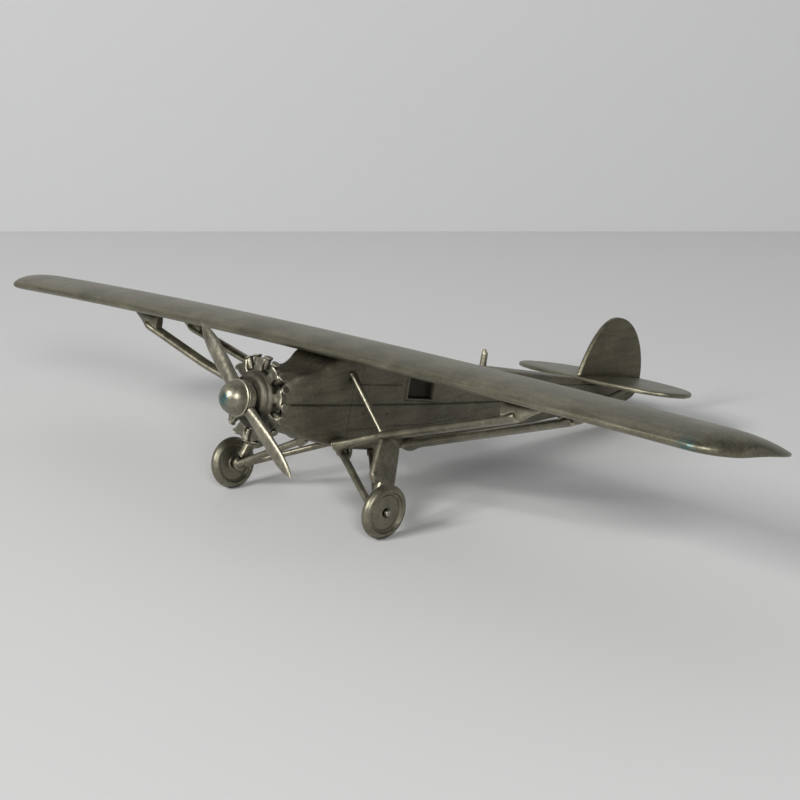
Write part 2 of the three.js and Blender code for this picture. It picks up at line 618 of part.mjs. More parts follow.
// The spring leg's fairing: a flat, soft-cornered box along the leg, drawn in at both ends.
function legFairing(side) {
  const top = new THREE.Vector3(...mirrored(LEG_TOP, side));
  const bottom = new THREE.Vector3(...mirrored(LEG_MIDDLE, side));
  const direction = new THREE.Vector3().subVectors(bottom, top).normalize();
  const across = new THREE.Vector3(0, 1, 0).addScaledVector(direction, -direction.y).normalize();
  const out = new THREE.Vector3().crossVectors(direction, across);
  const steps = [[0, 3.5, 0.9], [0.1, 4.3, 1.25], [0.86, 4.9, 1.35], [1, 2.8, 1.1]];
  return skin(steps.map(([t, chord, thick]) => Array.from({ length: 16 }, (_, i) => {
    const angle = (2 * Math.PI * i) / 16;
    const soft = (v) => Math.sign(v) * Math.abs(v) ** 0.5;
    const point = new THREE.Vector3().lerpVectors(top, bottom, t);
    point.addScaledVector(across, (chord / 2) * soft(Math.cos(angle)));
    return point.addScaledVector(out, (thick / 2) * soft(Math.sin(angle)));
  })));
}

for (const [word, side] of [["left", 1], ["right", -1]]) {
  const inner = toAirframe(wheelCentre(side).addScaledVector(axleDirection(side), AXLE_INNER - GAP));
  const flange = toAirframe(wheelCentre(side).addScaledVector(axleDirection(side), AXLE_INNER + 0.4));
  const aft = (point, distance) => [point[0], point[1] + distance, point[2]];

  const bend = between(STRUT_KNEE, STRUT_TIP_FRONT, 0.55);
  bend[2] -= side < 0 ? RIGHT_STRUT_BOW : 0;
  addPiece(airframe, `${word}_front_wing_strut`,
    wingStrut([STRUT_ROOT_FRONT, STRUT_KNEE, bend, STRUT_TIP_FRONT], STRUT_CHORD, STRUT_THICKNESS, side), pewterStrut);
  addPiece(airframe, `${word}_rear_wing_strut`,
    wingStrut([STRUT_ROOT_REAR, STRUT_TIP_REAR], STRUT_CHORD, STRUT_THICKNESS, side), pewterStrut);

  const kneeStop = along(mirrored(STRUT_KNEE, side), mirrored(CABANE_TOP, side), 1.0);
  addPiece(airframe, `${word}_cabane_brace`,
    strut([mirrored(CABANE_TOP, side), kneeStop], 1.05, 0.9, [1, 0, 0], [0, 0, 1]), pewterStrut);

  addPiece(airframe, `${word}_leg_fairing`, legFairing(side), pewterStrut);
  const legEnd = [flange[0], flange[1], flange[2] + AXLE_DISC + GAP];
  const legStart = along(mirrored(LEG_MIDDLE, side), legEnd, GAP);
  addPiece(airframe, `${word}_shock_leg`, strut([legStart, legEnd], 1.3, 1.2, null, [0, 0, 1]), pewterStrut);

  addPiece(airframe, `${word}_front_axle_strut`,
    strut([mirrored(AXLE_STRUT_ROOT_FRONT, side), aft(inner, -0.62)], 1.1, 1.05, [0, 0, 1], [1, 0, 0]), pewterStrut);
  addPiece(airframe, `${word}_rear_axle_strut`,
    strut([mirrored(AXLE_STRUT_ROOT_REAR, side), aft(inner, 0.68)], 1.1, 0.95, [0, 0, 1], [1, 0, 0]), pewterStrut);
}

// ---------------------------------------------------------------- centre the footprint
model.updateMatrixWorld(true);
const bounds = new THREE.Box3().setFromObject(model, true);
model.position.y = -(bounds.min.y + bounds.max.y) / 2;
model.position.z = -bounds.min.z;
model.updateMatrixWorld(true);

export default model;
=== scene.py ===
"""A cast pewter model of a high-wing, strut-braced monoplane, drawn as worked-out surfaces.

Shape functions work in millimetres in the airframe's own coordinates: x to port, u aft from the
spinner's centre, w up from the thrust line. to_row() tips them back onto the tail skid and turns
them into metres. The wheels are drawn straight in the upright coordinates.
"""
import json
import math

import bpy
import numpy as np
from mathutils import Matrix, Vector


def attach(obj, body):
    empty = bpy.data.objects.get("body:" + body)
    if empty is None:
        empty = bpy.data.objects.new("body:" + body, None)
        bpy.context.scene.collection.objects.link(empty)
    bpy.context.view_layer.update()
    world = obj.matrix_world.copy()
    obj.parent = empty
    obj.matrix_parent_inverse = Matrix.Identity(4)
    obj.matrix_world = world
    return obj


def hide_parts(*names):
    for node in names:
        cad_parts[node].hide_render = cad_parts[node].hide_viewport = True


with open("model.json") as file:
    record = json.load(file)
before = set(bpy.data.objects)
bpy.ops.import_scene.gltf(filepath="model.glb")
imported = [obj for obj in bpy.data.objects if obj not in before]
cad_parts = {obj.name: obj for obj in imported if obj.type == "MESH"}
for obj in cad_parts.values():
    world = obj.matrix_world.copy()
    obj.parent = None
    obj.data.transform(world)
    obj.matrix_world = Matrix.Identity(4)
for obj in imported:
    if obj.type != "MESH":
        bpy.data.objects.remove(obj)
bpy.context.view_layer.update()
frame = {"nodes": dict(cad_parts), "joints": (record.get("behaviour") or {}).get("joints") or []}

JOINTS = {joint["name"]: joint for joint in frame["joints"]}
PER_METRE = 1000
THRUST = np.array(JOINTS["propeller_spin"]["pos_m"]) * PER_METRE
THRUST_AXIS = np.array(JOINTS["propeller_spin"]["axis"])
TAIL_DOWN = math.atan2(-THRUST_AXIS[2], THRUST_AXIS[1])
SINE, COSINE = math.sin(TAIL_DOWN), math.cos(TAIL_DOWN)
SIDES = {"left": 1, "right": -1}

SPAN = 160
WING_CHORD = 21.9
WING_LEADING_EDGE = 7.6
WING_HEIGHT = 8.95
WING_INCIDENCE = math.radians(0.4)
WING_THICKNESS = 3.0
WING_CAMBER = 1.0
WING_DROOP = {"left": 0.85, "right": 1.5}
WING_EDGE = 0.26
TIP_THINNEST = 0.4
TIP_NOSE_LENGTH = 4.6
TIP_NOSE_SWEEP = 6.5
TIP_NOSE_ROUNDING = 1.8
TIP_TAIL_LENGTH = 6.2
TIP_TAIL_SWEEP = 9.6
TIP_TAIL_ROUNDING = 2.15

BODY_FRONT = 5.8
BODY_REAR = 92.5
RIM_DRAW = 0.05
RIM_LENGTH = 0.22
TAIL_HALF_SPAN = 18.3
TAIL_MIDDLE = 86.2
TAIL_NOSE = 8.0
TAIL_AFT = 10.3
TAIL_HEIGHT = 7.3
TAIL_RISE = 0.035
TAIL_THICKNESS = 1.3
TAIL_NOSE_ROUNDING = 2.8
TAIL_AFT_ROUNDING = 2.1
TAIL_HINGE = 89.6
FIN_THICKNESS = 1.0
FIN_TOP = 18.85
FIN_FRONT = 78.6
FIN_EDGE = 0.45
FIN_RIBS = ((15.6, 0.05), (12.2, 0.04))
RUDDER_REAR = 96.7
RUDDER_FRONT = 92.6
RUDDER_FOOT = 3.42
RUDDER_SHOULDER = 8.2
MAST_STATION = 52.9
WHEEL_RADIUS = 4.23
WHEEL_WIDTH = 1.8
AXLE_BARS_INBOARD = 2.25
LEG_INBOARD = 1.8
CYLINDERS = 9
CYLINDER_STATION = 3.85
BARREL_FOOT = 4.35
BARREL_HEIGHT = 1.95
POST_PLACE = (1.12, 4.05, 5.65)
POST_SWEEP = -0.06
BORE = 0.65
POST_LEAN = 0.22
SPINNER_RADIUS = 2.62
BLADE_ROOT = 1.9
BLADE_LENGTH = 13.95
BLADE_STATION = 1.1
BLADE_CONE = 0.65
BLADE_TURN = math.radians(-53.5)
CREASE_ANGLE = math.radians(38)


# ---------------------------------------------------------------- coordinates and curves
def to_row(points):
    """Turns by the tail-down angle about the thrust point, and goes from millimetres to metres:
    y gains u cos + w sin, and z gains w cos - u sin."""
    x, u, w = np.moveaxis(np.asarray(points, float), -1, 0)
    y = THRUST[1] + u * COSINE + w * SINE
    z = THRUST[2] + w * COSINE - u * SINE
    return np.stack([x + THRUST[0], y, z], -1) / PER_METRE


def to_airframe(point):
    """The inverse turn of to_row, from upright millimetres."""
    y, z = point[1] - THRUST[1], point[2] - THRUST[2]
    return np.array([point[0], y * COSINE - z * SINE, y * SINE + z * COSINE])


def about_thrust(points, angle):
    """The points turned about the thrust line: x gains w sin, and w loses x sin."""
    sine, cosine = math.sin(angle), math.cos(angle)
    return points @ np.array([[cosine, 0, -sine], [0, 1, 0], [sine, 0, cosine]])


def on_side(points, side):
    """The same points with x taken to the given side."""
    return np.array(points, float) * [side, 1, 1]


def eased(knots):
    """A curve through [station, value] knots: cubic pieces whose slope at a knot is the harmonic
    mean of its two neighbours' slopes, or level where they disagree, so it never overshoots."""
    s, v = np.array(knots, float).T
    rise = np.diff(v) / np.diff(s)
    same = rise[:-1] * rise[1:] > 0
    total = np.where(same, rise[:-1] + rise[1:], 1)
    mean = np.where(same, 2 * rise[:-1] * rise[1:] / total, 0)
    slope = np.concatenate([[rise[0]], mean, [rise[-1]]])

    def value(at):
        at = np.clip(at, s[0], s[-1])
        i = np.clip(np.searchsorted(s, at) - 1, 0, len(s) - 2)
        h = s[i + 1] - s[i]
        t = (at - s[i]) / h
        start = v[i] * (1 + 2 * t) * (1 - t) ** 2 + h * slope[i] * t * (1 - t) ** 2
        end = v[i + 1] * t ** 2 * (3 - 2 * t) + h * slope[i + 1] * t ** 2 * (t - 1)
        return start + end

    return value


def soft(value, power):
    """The value's size raised to a power, its sign kept: a circle becomes a soft-cornered box."""
    return np.sign(value) * np.abs(value) ** power


def step(value, start, end):
    """0 before start, 1 after end, and a smooth cubic between."""
    t = np.clip((value - start) / (end - start), 0, 1)
    return t * t * (3 - 2 * t)


def groove(distance, half_width):
    """A bell-shaped trough: 1 on the line, falling off with the square of the distance."""
    return np.exp(-(distance / half_width) ** 2)


def softened(outline, spacing=0.06, passes=4, closed=False):
    """The outline walked in equal steps, then each point averaged with its neighbours a few times,
    so that every corner becomes the small radius of a casting."""
    points = np.array(outline, float)
    if closed:
        points = np.concatenate([points, points[:1]])
    length = np.concatenate([[0], np.cumsum(np.linalg.norm(np.diff(points, axis=0), axis=1))])
    walk = np.linspace(0, length[-1], int(length[-1] / spacing) + 2)
    points = np.stack([np.interp(walk, length, column) for column in points.T], -1)
    if closed:
        points = points[:-1]
    for _ in range(passes):
        mixed = (np.roll(points, 1, 0) + 2 * points + np.roll(points, -1, 0)) / 4
        if not closed:
            mixed[0], mixed[-1] = points[0], points[-1]
        points = mixed
    return points


# ---------------------------------------------------------------- surfaces
def loft(rings, wrap=False):
    """Quads between neighbouring rings (rows, points, xyz). The two end rings are closed by a fan
    about their middles, or joined to each other when wrap is set. Faces are turned outwards."""
    rows, cols, _ = rings.shape
    here = np.arange(cols)
    there = (here + 1) % cols
    starts = (np.arange(rows if wrap else rows - 1) * cols)[:, None]
    after = (starts + cols) % (rows * cols)
    quads = np.stack([starts + here, starts + there, after + there, after + here], -1).reshape(-1, 4)
    points = rings.reshape(-1, 3)
    fans = np.zeros((0, 3), int)
    if not wrap:
        points = np.concatenate([points, rings[:1].mean(1), rings[-1:].mean(1)])
        last = (rows - 1) * cols
        hubs = np.full(cols, rows * cols)
        near_fan = np.stack([hubs, there, here], -1)
        far_fan = np.stack([hubs + 1, last + here, last + there], -1)
        fans = np.concatenate([near_fan, far_fan])
    halves = np.concatenate([quads[:, [0, 1, 2]], quads[:, [0, 2, 3]], fans])
    a, b, c = points[halves].transpose(1, 0, 2)
    if (a * np.cross(b, c)).sum() < 0:
        quads, fans = quads[:, ::-1], fans[:, ::-1]
    return points, quads, fans


def turned(profile, segments, centre=(0, 0, 0), axis=(0, 1, 0)):
    """Rings of a turned body: every (radius, station) of the profile, swept in a circle about the
    axis."""
    axis = np.array(axis, float) / np.linalg.norm(axis)
    across = np.cross(axis, [0.36, 0.48, 0.8])
    across /= np.linalg.norm(across)
    around = np.cross(axis, across)
    angle = np.linspace(0, 2 * np.pi, segments, endpoint=False)
    circle = np.cos(angle)[:, None] * across + np.sin(angle)[:, None] * around
    radius, station = np.array(profile, float).T
    return np.array(centre) + station[:, None, None] * axis + radius[:, None, None] * circle


def piece(name, shells, body, nodes, material, wash=None):
    """One object from its closed shells, smooth except where faces meet at more than the crease angle.
    wash gives each point's share of the dark oxide that lies in hollows, from 0 to 1."""
    points, faces, first = [], [], 0
    for shell_points, quads, fans in shells:
        points.append(shell_points)
        faces += (quads + first).tolist() + (fans + first).tolist()
        first += len(shell_points)
    mesh = bpy.data.meshes.new(name)
    mesh.from_pydata(np.concatenate(points).tolist(), [], faces)
    mesh.shade_smooth()
    mesh.set_sharp_from_angle(angle=CREASE_ANGLE)
    mesh.materials.append(material)
    if wash is not None:
        shares = mesh.attributes.new("wash", "FLOAT", "POINT")
        shares.data.foreach_set("value", wash.astype(np.float32))
    built = bpy.data.objects.new(name, mesh)
    bpy.context.scene.collection.objects.link(built)
    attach(built, body)
    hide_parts(*nodes)


def airframe_piece(name, shells, node, material):
    """A piece that stands still with the airframe in place of one node."""
    piece(name, shells, "airframe", [node], material)


# ---------------------------------------------------------------- finishes
def add(tree, kind, links=None, values=None, **settings):
    """One shader node with its settings, plain values and incoming links."""
    made = tree.nodes.new(kind)
    for key, value in settings.items():
        setattr(made, key, value)
    for key, value in (values or {}).items():
        made.inputs[key].default_value = value
    for key, socket in (links or {}).items():
        tree.links.new(socket, made.inputs[key])
    return made


def ramp(tree, value, stops):
    """A colour ramp through (position, grey) stops."""
    made = add(tree, "ShaderNodeValToRGB", {"Fac": value})
    elements = made.color_ramp.elements
    for i, (position, grey) in enumerate(stops):
        element = elements[i] if i < 2 else elements.new(position)
        element.position = position
        element.color = (grey, grey, grey, 1)
    return made.outputs["Color"]


def blend_colour(tree, factor, first, second):
    """Mixes from first to second; each is a socket or a plain colour."""
    made = add(tree, "ShaderNodeMix", {0: factor}, data_type="RGBA")
    for socket, colour in ((made.inputs[6], first), (made.inputs[7], second)):
        if isinstance(colour, tuple):
            socket.default_value = (*colour, 1)
        else:
            tree.links.new(colour, socket)
    return made.outputs[2]


def noise(tree, vector, scale, detail, roughness):
    """The grey value of a fractal noise."""
    values = {"Scale": scale, "Detail": detail, "Roughness": roughness}
    return add(tree, "ShaderNodeTexNoise", {"Vector": vector}, values).outputs["Fac"]


def openness(tree, distance, samples, inside=False):
    """How open a point's surroundings are within a distance, 1 being clear; inside looks inwards."""
    settings = {"inside": inside, "samples": samples}
    made = add(tree, "ShaderNodeAmbientOcclusion", values={"Distance": distance}, **settings)
    return made.outputs["AO"]


# Near-black: the oxide that lies in the metal's own hollows, and also painted shade where parts close in
# on one another
OXIDE_AND_SHADE = (0.022, 0.02, 0.015)
VERDIGRIS = (0.03, 0.13, 0.15)
MOTTLE_SCALE = 150.0
GRAIN_SCALE = 2400.0
EDGE_REACH = 0.00035
EDGE_GAIN = 1.5
GRAIN_DEPTH = 0.00006
STREAK_DEPTH = 0.00007


def pewter(name, dull, bright, roughness, streak_scale, recess=0.0016, spots=()):
    """Antiqued pewter. A slow mottle mixes the dull and bright tones, long brushed streaks and fine
    casting grain vary it, closed-in places go to near-black, partly oxide in the metal's hollows and
    partly painted shade where other parts or the floor close in, outer edges are rubbed bright, and each
    spot (centre and radius in metres) carries a patch of verdigris broken up by the grain."""
    material = bpy.data.materials.new(name)
    material.use_nodes = True
    tree = material.node_tree
    shader = tree.nodes["Principled BSDF"]
    shader.inputs["Metallic"].default_value = 0.92
    place = add(tree, "ShaderNodeTexCoord").outputs["Object"]
    mottle = noise(tree, place, MOTTLE_SCALE, 5.0, 0.6)
    grain = noise(tree, place, GRAIN_SCALE, 3.0, 0.65)
    drawn = add(tree, "ShaderNodeMapping", {"Vector": place}, {"Scale": streak_scale})
    streaks = noise(tree, drawn.outputs[0], 1.0, 5.0, 0.7)
    colour = blend_colour(tree, ramp(tree, mottle, [(0.35, 0.0), (0.68, 1.0)]), dull, bright)
    streak = ramp(tree, streaks, [(0.36, 0.78), (0.64, 1.14)])
    speckle = ramp(tree, grain, [(0.3, 0.84), (0.7, 1.1)])
    for tone in (streak, speckle):
        settings = {"data_type": "RGBA", "blend_type": "MULTIPLY"}
        colour = add(tree, "ShaderNodeMix", {6: colour, 7: tone}, {0: 1.0}, **settings).outputs[2]
    rubbed = ramp(tree, openness(tree, EDGE_REACH, 8, inside=True), [(0.42, 0.75), (0.86, 0.0)])
    colour = blend_colour(tree, rubbed, colour, tuple(min(EDGE_GAIN * v, 1.0) for v in bright))
    # Painted shade: wherever other surfaces close in within the reach, neighbouring parts and the floor
    # among them, the colour goes towards near-black, besides the oxide in the metal's own hollows
    hollow = ramp(tree, openness(tree, recess, 12), [(0.25, 0.9), (0.82, 0.0)])
    colour = blend_colour(tree, hollow, colour, OXIDE_AND_SHADE)
    wash = add(tree, "ShaderNodeAttribute", attribute_name="wash").outputs["Fac"]
    colour = blend_colour(tree, ramp(tree, wash, [(0.1, 0.0), (0.9, 0.85)]), colour, OXIDE_AND_SHADE)
    for centre, radius in spots:
        gap = add(tree, "ShaderNodeVectorMath", {0: place}, {1: centre}, operation="DISTANCE")
        ragged = add(tree, "ShaderNodeMath", {0: grain}, {1: radius * 3.2}, operation="MULTIPLY")
        ends = {0: gap.outputs["Value"], 1: ragged.outputs[0]}
        reach = add(tree, "ShaderNodeMath", ends, operation="SUBTRACT")
        fade = {"From Min": -radius * 1.3, "From Max": -radius * 0.5, "To Min": 0.8, "To Max": 0.0}
        share = add(tree, "ShaderNodeMapRange", {"Value": reach.outputs[0]}, fade)
        colour = blend_colour(tree, share.outputs[0], colour, VERDIGRIS)
    tree.links.new(colour, shader.inputs["Base Color"])
    span = {"From Min": 0.3, "From Max": 0.7, "To Min": roughness - 0.06, "To Max": roughness + 0.08}
    worn = add(tree, "ShaderNodeMapRange", {"Value": streaks}, span)
    tree.links.new(worn.outputs[0], shader.inputs["Roughness"])
    depth = {"Strength": 0.35, "Distance": GRAIN_DEPTH}
    fine = add(tree, "ShaderNodeBump", {"Height": grain}, depth)
    depth = {"Strength": 0.4, "Distance": STREAK_DEPTH}
    brushed = add(tree, "ShaderNodeBump", {"Height": streaks, "Normal": fine.outputs[0]}, depth)
    tree.links.new(brushed.outputs[0], shader.inputs["Normal"])
    return material


def spot(x, u, w, radius):
    """A patch's centre and radius in metres, from its place on the airframe in millimetres."""
    return tuple(to_row([x, u, w])), radius / PER_METRE


ALONG_SPAN = (70.0, 1900.0, 1900.0)
ALONG_BODY = (1500.0, 90.0, 1500.0)
UPRIGHT = (1600.0, 1600.0, 120.0)
EVEN = (700.0, 700.0, 700.0)
DULL = (0.19, 0.178, 0.135)
BRIGHT = (0.3, 0.282, 0.212)
TIP_SPOTS = [spot(75.3, 8.3, 8.0, 1.4), spot(-78.6, 10.6, 7.4, 1.6)]
NOSE_SPOTS = [spot(0.0, -2.55, -0.35, 1.3)]
wing_metal = pewter("brushed_wing_pewter", (0.15, 0.141, 0.1), (0.245, 0.23, 0.165), 0.38,
                    ALONG_SPAN, spots=TIP_SPOTS)
# The fuselage and the fin take darker tones than the wing and the tailplane, one and the same pewter:
# painted shade on the upright sides
body_metal = pewter("dark_body_pewter", (0.14, 0.13, 0.098), (0.21, 0.195, 0.145), 0.48,
                    ALONG_BODY, recess=0.0011)
fin_metal = pewter("fin_pewter", (0.13, 0.12, 0.085), (0.19, 0.175, 0.12), 0.46, ALONG_BODY)
nose_metal = pewter("spinner_pewter", DULL, BRIGHT, 0.36, EVEN, spots=NOSE_SPOTS)
strut_metal = pewter("rubbed_strut_pewter", DULL, (0.31, 0.29, 0.215), 0.4, EVEN)
blade_metal = pewter("rubbed_blade_pewter", DULL, (0.33, 0.31, 0.24), 0.38, UPRIGHT)
drum_metal = pewter("crankcase_pewter", (0.065, 0.06, 0.045), (0.12, 0.112, 0.085), 0.5, EVEN)
engine_metal = pewter("sooty_engine_pewter", (0.125, 0.118, 0.09), (0.24, 0.226, 0.175), 0.4, EVEN)
wheel_metal = pewter("wheel_pewter", (0.17, 0.16, 0.12), (0.26, 0.243, 0.18), 0.42, EVEN,
                     recess=0.0009)
pin_metal = pewter("dull_steel_pin", (0.28, 0.27, 0.23), (0.42, 0.4, 0.34), 0.36, EVEN)


# ---------------------------------------------------------------- fuselage
deck_height = eased([[5.8, 4.4], [8, 4.9], [10.3, 5.08], [11.9, 5.35], [12.8, 5.8], [13.6, 6.5],
                     [14.4, 7.5], [15, 7.9], [16, 8.02], [30, 8.02], [45, 7.8],
                     [60, 7.6], [76, 7.25], [79, 6.95], [92.5, 6.9]])
keel_height = eased([[5.8, -4.25], [7.6, -4.64], [11.3, -5.37], [16.7, -6.1], [20, -6.5], [24.2, -6.54],
                     [30.6, -6.2], [35.4, -5.9], [40, -5.2], [66, -1.05], [92.5, 3.2]])
half_width = eased([[5.8, 4.2], [8.3, 4.6], [13, 5.0], [20.5, 5.1], [37, 4.95], [55.5, 3.55],
                    [74, 2.15], [92.5, 0.7]])
squareness = eased([[5.8, 2.5], [7.2, 4], [9, 8], [12, 11], [16.5, 14], [55, 14], [92.5, 7]])


LONGERON = (18.55, 0.57, 0.05)
UPPER_LINE = (21.1, 3.92, 0.04)
LOWER_LINE = (19, -3.3, 0.085)
COWL_EDGE = 18.85
PANEL_EDGE = 20.3
FRAMES = (48, 59, 70)
RIVETS = (21.7, 26.8)
RIVET_LINE = (21.7, -0.62, 0.03)
WINDOW_FRAME = (33.6, 3.3, 3.88, 2.03)
WINDOW_FIELD = (33.75, 2.8, 4.15, 1.85)
WINDOW_DEPTH = 0.85
LINE_WIDTH = 0.14
DARKEST_DEPTH = 0.16


def on_line(line, u):
    """Height at u of a straight line given by a station, its height there and its rise aft."""
    station, height, rise = line
    return height + rise * (u - station)


def past_box(u, w, box):
    """Distance outside a rectangle, negative inside it: the greater of the excess along u and along
    w. The box gives its middle station, half length, middle height and half height."""
    station, half_length, height, half_height = box
    return np.maximum(np.abs(u - station) - half_length, np.abs(w - height) - half_height)


def within(value, start, end, ease=0.4):
    """0 outside start and end, rising in a smooth cubic to 1 just inside them."""
    return step(value, start, start + ease) * step(-value, -end, ease - end)


def side_relief(u, w):
    """Depth below the fuselage's flat side: bell-shaped grooves along the longerons, panel edges and
    frames, ringed rivet dents, and the window as a sunken field with a raised lip round it."""
    longeron = on_line(LONGERON, u)
    aft_of_window = step(u, 38.6, 39)
    depth = 0.13 * groove(w - longeron, 0.15) * step(u, 6.5, 7.5) * step(-u, -90, -86)
    depth += 0.09 * groove(w - on_line(UPPER_LINE, u), 0.13) * (within(u, 20.2, 29.6) + aft_of_window)
    depth += 0.08 * groove(w - on_line(LOWER_LINE, u), 0.13) * step(u, 19, 19.4) * step(-u, -70, -60)
    depth += 0.08 * groove(u - COWL_EDGE, LINE_WIDTH) * within(w, -5.9, 4.6)
    above = step(w, longeron, longeron + 0.3) * step(-w, -7.2, -6.9)
    depth += 0.07 * groove(u - PANEL_EDGE, LINE_WIDTH) * above
    for station in FRAMES:
        depth += 0.05 * groove(u - station, 0.3)
    for station in RIVETS:
        spread = np.hypot(u - station, w - on_line(RIVET_LINE, u))
        depth += 0.12 * groove(spread, 0.2) - 0.05 * groove(spread - 0.34, 0.12)
    outside = past_box(u, w, WINDOW_FRAME)
    inside = past_box(u, w, WINDOW_FIELD)
    depth += 0.09 * groove(outside, 0.12)
    depth += WINDOW_DEPTH * step(-inside, -0.1, 0.16)
    return depth - 0.14 * groove(inside - 0.24, LINE_WIDTH)


def fuselage():
    """Superellipse sections on a row of stations: the exponent grows from near-round at the engine to
    a square box behind, and each section's four arcs meet where the two coordinates are equal. The
    front rim draws in exponentially. Returns the skin, and the share of oxide at each point, which
    grows with the depth of the relief and is 0 at the two end points."""
    u = np.concatenate([np.linspace(BODY_FRONT, 42, 236), np.linspace(42.5, BODY_REAR, 96)])[:, None]
    power = squareness(u)
    corner = 2 ** (-1 / power)
    tall = np.linspace(-1, 1, 100, endpoint=False) * corner
    wide = np.linspace(-1, 1, 20, endpoint=False) * corner

    def partner(value):
        return np.maximum(1 - np.abs(value) ** power, 0) ** (1 / power)

    x = np.concatenate([partner(tall), -wide, -partner(tall), wide], 1)
    w = np.concatenate([tall, partner(wide), -tall, -partner(wide)], 1)
    flat = step(np.abs(x), 0.9, 0.965)
    rim = 1 - RIM_DRAW * np.exp(-(u - BODY_FRONT) / RIM_LENGTH)
    top, bottom = deck_height(u), keel_height(u)
    w = (top + bottom) / 2 + rim * w * (top - bottom) / 2
    x = rim * x * half_width(u)
    u = u + 0 * x
    depth = flat * side_relief(u, w)
    x = x - np.sign(x) * depth
    wash = np.concatenate([np.clip(depth.ravel() / DARKEST_DEPTH, 0, 1), [0, 0]])
    return loft(to_row(np.stack([x, u, w], -1))), wash


body_shell, body_wash = fuselage()
piece("fuselage", [body_shell], "airframe", ["fuselage_left_half", "fuselage_right_half"],
      body_metal, wash=body_wash)


# ---------------------------------------------------------------- wing
def tip_curve(x, length, rounding):
    """0 inboard, and 1 at the tip, along a superellipse that fills the last length of the span."""
    reach = np.clip((np.abs(x) - SPAN / 2 + length) / length, 0, 1)
    return 1 - np.maximum(1 - reach ** rounding, 0) ** (1 / rounding)


def wing():
    """A cambered aerofoil carried along the span. Near each tip its nose and tail sweep in along
    superellipses, and its thickness falls with the square root of what is left of the outline. The
    thickness and a blunt edge of near-constant width are added as the sides of a right angle."""
    tip = SPAN / 2 - TIP_TAIL_LENGTH * (1 - np.sin(np.linspace(0, np.pi / 2, 50)))
    half = np.concatenate([np.linspace(0.35, SPAN / 2 - TIP_TAIL_LENGTH - 0.4, 88), tip])
    x = np.concatenate([-half[::-1], half])[:, None]
    angle = np.linspace(0, 2 * np.pi, 144, endpoint=False)
    c = (1 - np.cos(angle)) / 2
    thick = 1.4845 * np.sqrt(c) - 0.63 * c - 1.758 * c ** 2 + 1.4215 * c ** 3 - 0.5075 * c ** 4
    thick = np.hypot(WING_THICKNESS * thick, WING_EDGE * np.abs(np.sin(angle)) ** 0.3)
    arch = 0.8 * c - c * c
    middle = WING_CAMBER * np.where(c < 0.4, arch / 0.16, (0.2 + arch) / 0.36)
    left_over = np.sqrt(1 - tip_curve(x, TIP_TAIL_LENGTH, TIP_TAIL_ROUNDING))
    height = np.maximum(left_over, TIP_THINNEST) * (middle + np.sign(np.sin(angle)) * thick)
    nose = TIP_NOSE_SWEEP * tip_curve(x, TIP_NOSE_LENGTH, TIP_NOSE_ROUNDING)
    tail = TIP_TAIL_SWEEP * tip_curve(x, TIP_TAIL_LENGTH, TIP_TAIL_ROUNDING)
    along = nose + c * (WING_CHORD - nose - tail)
    droop = np.where(x > 0, WING_DROOP["left"], WING_DROOP["right"]) * (2 * x / SPAN) ** 2
    sine, cosine = math.sin(WING_INCIDENCE), math.cos(WING_INCIDENCE)
    u = WING_LEADING_EDGE + along * cosine + height * sine
    w = WING_HEIGHT + height * cosine - along * sine - droop
    return loft(to_row(np.stack([x + 0 * u, u, w], -1)))


airframe_piece("wing_surface", [wing()], "wing", wing_metal)


# ---------------------------------------------------------------- tail
def tail_middle(u):
    """Height of the tailplane's middle: a straight rise towards the trailing edge."""
    return TAIL_HEIGHT + TAIL_RISE * (u - TAIL_MIDDLE)


def tailplane():
    """Sections along the span between a blunt superelliptic leading edge and a rounder trailing edge.
    The thickness keeps almost to the edges and ends in a round, thins a little towards the tips, and
    has a shallow bell-shaped groove along the hinge line on both faces."""
    t = np.sin(np.linspace(-np.pi / 2, np.pi / 2, 130))[:, None] * 0.9995
    start = TAIL_MIDDLE - TAIL_NOSE * (1 - np.abs(t) ** TAIL_NOSE_ROUNDING) ** (1 / TAIL_NOSE_ROUNDING)
    end = TAIL_MIDDLE + TAIL_AFT * (1 - np.abs(t) ** TAIL_AFT_ROUNDING) ** (1 / TAIL_AFT_ROUNDING)
    angle = np.linspace(0, 2 * np.pi, 72, endpoint=False)
    u = (start + end) / 2 - (end - start) / 2 * np.cos(angle)
    half = TAIL_THICKNESS / 2 * np.sqrt(1 - 0.6 * t ** 6)
    relief = 0.05 * groove(u - TAIL_HINGE, 0.22)
    half = half * np.abs(np.sin(angle)) ** 0.4 - relief
    w = tail_middle(u) + half * np.sign(np.sin(angle))
    x = t * TAIL_HALF_SPAN + 0 * u
    return loft(to_row(np.stack([x, u, w], -1)))


def bezier(points, count=60):
    """A cubic curve from four control points."""
    a, b, c, d = np.array(points, float)
    t = np.linspace(0, 1, count)[:, None]
    return a * (1 - t) ** 3 + 3 * b * t * (1 - t) ** 2 + 3 * c * t ** 2 * (1 - t) + d * t ** 3


def slab(w, start, end, top):
    """An upright slab: at each height it runs from start to end, and its half thickness follows a
    quarter ellipse near an edge, so that every edge is rounded over. Two level ribs are grooved in."""
    t = np.linspace(0, 1, 60)
    t = (t - np.sin(2 * np.pi * t) / (2 * np.pi) * 0.85)[None]
    u = start[:, None] + (end - start)[:, None] * t
    edge = np.minimum(np.minimum(u - start[:, None], end[:, None] - u), (top - w)[:, None])
    short = np.clip(1 - np.maximum(edge, 0) / FIN_EDGE, 0, 1)
    half = FIN_THICKNESS / 2 * np.sqrt(1 - short ** 2)
    for height, depth in FIN_RIBS:
        half = half - depth * groove(w[:, None] - height, 0.16)
    half = np.maximum(half, 0.004)
    x = np.concatenate([half, -half[:, ::-1]], 1)
    u = np.concatenate([u, u[:, ::-1]], 1)
    return loft(to_row(np.stack([x, u, w[:, None] + 0 * u], -1)))


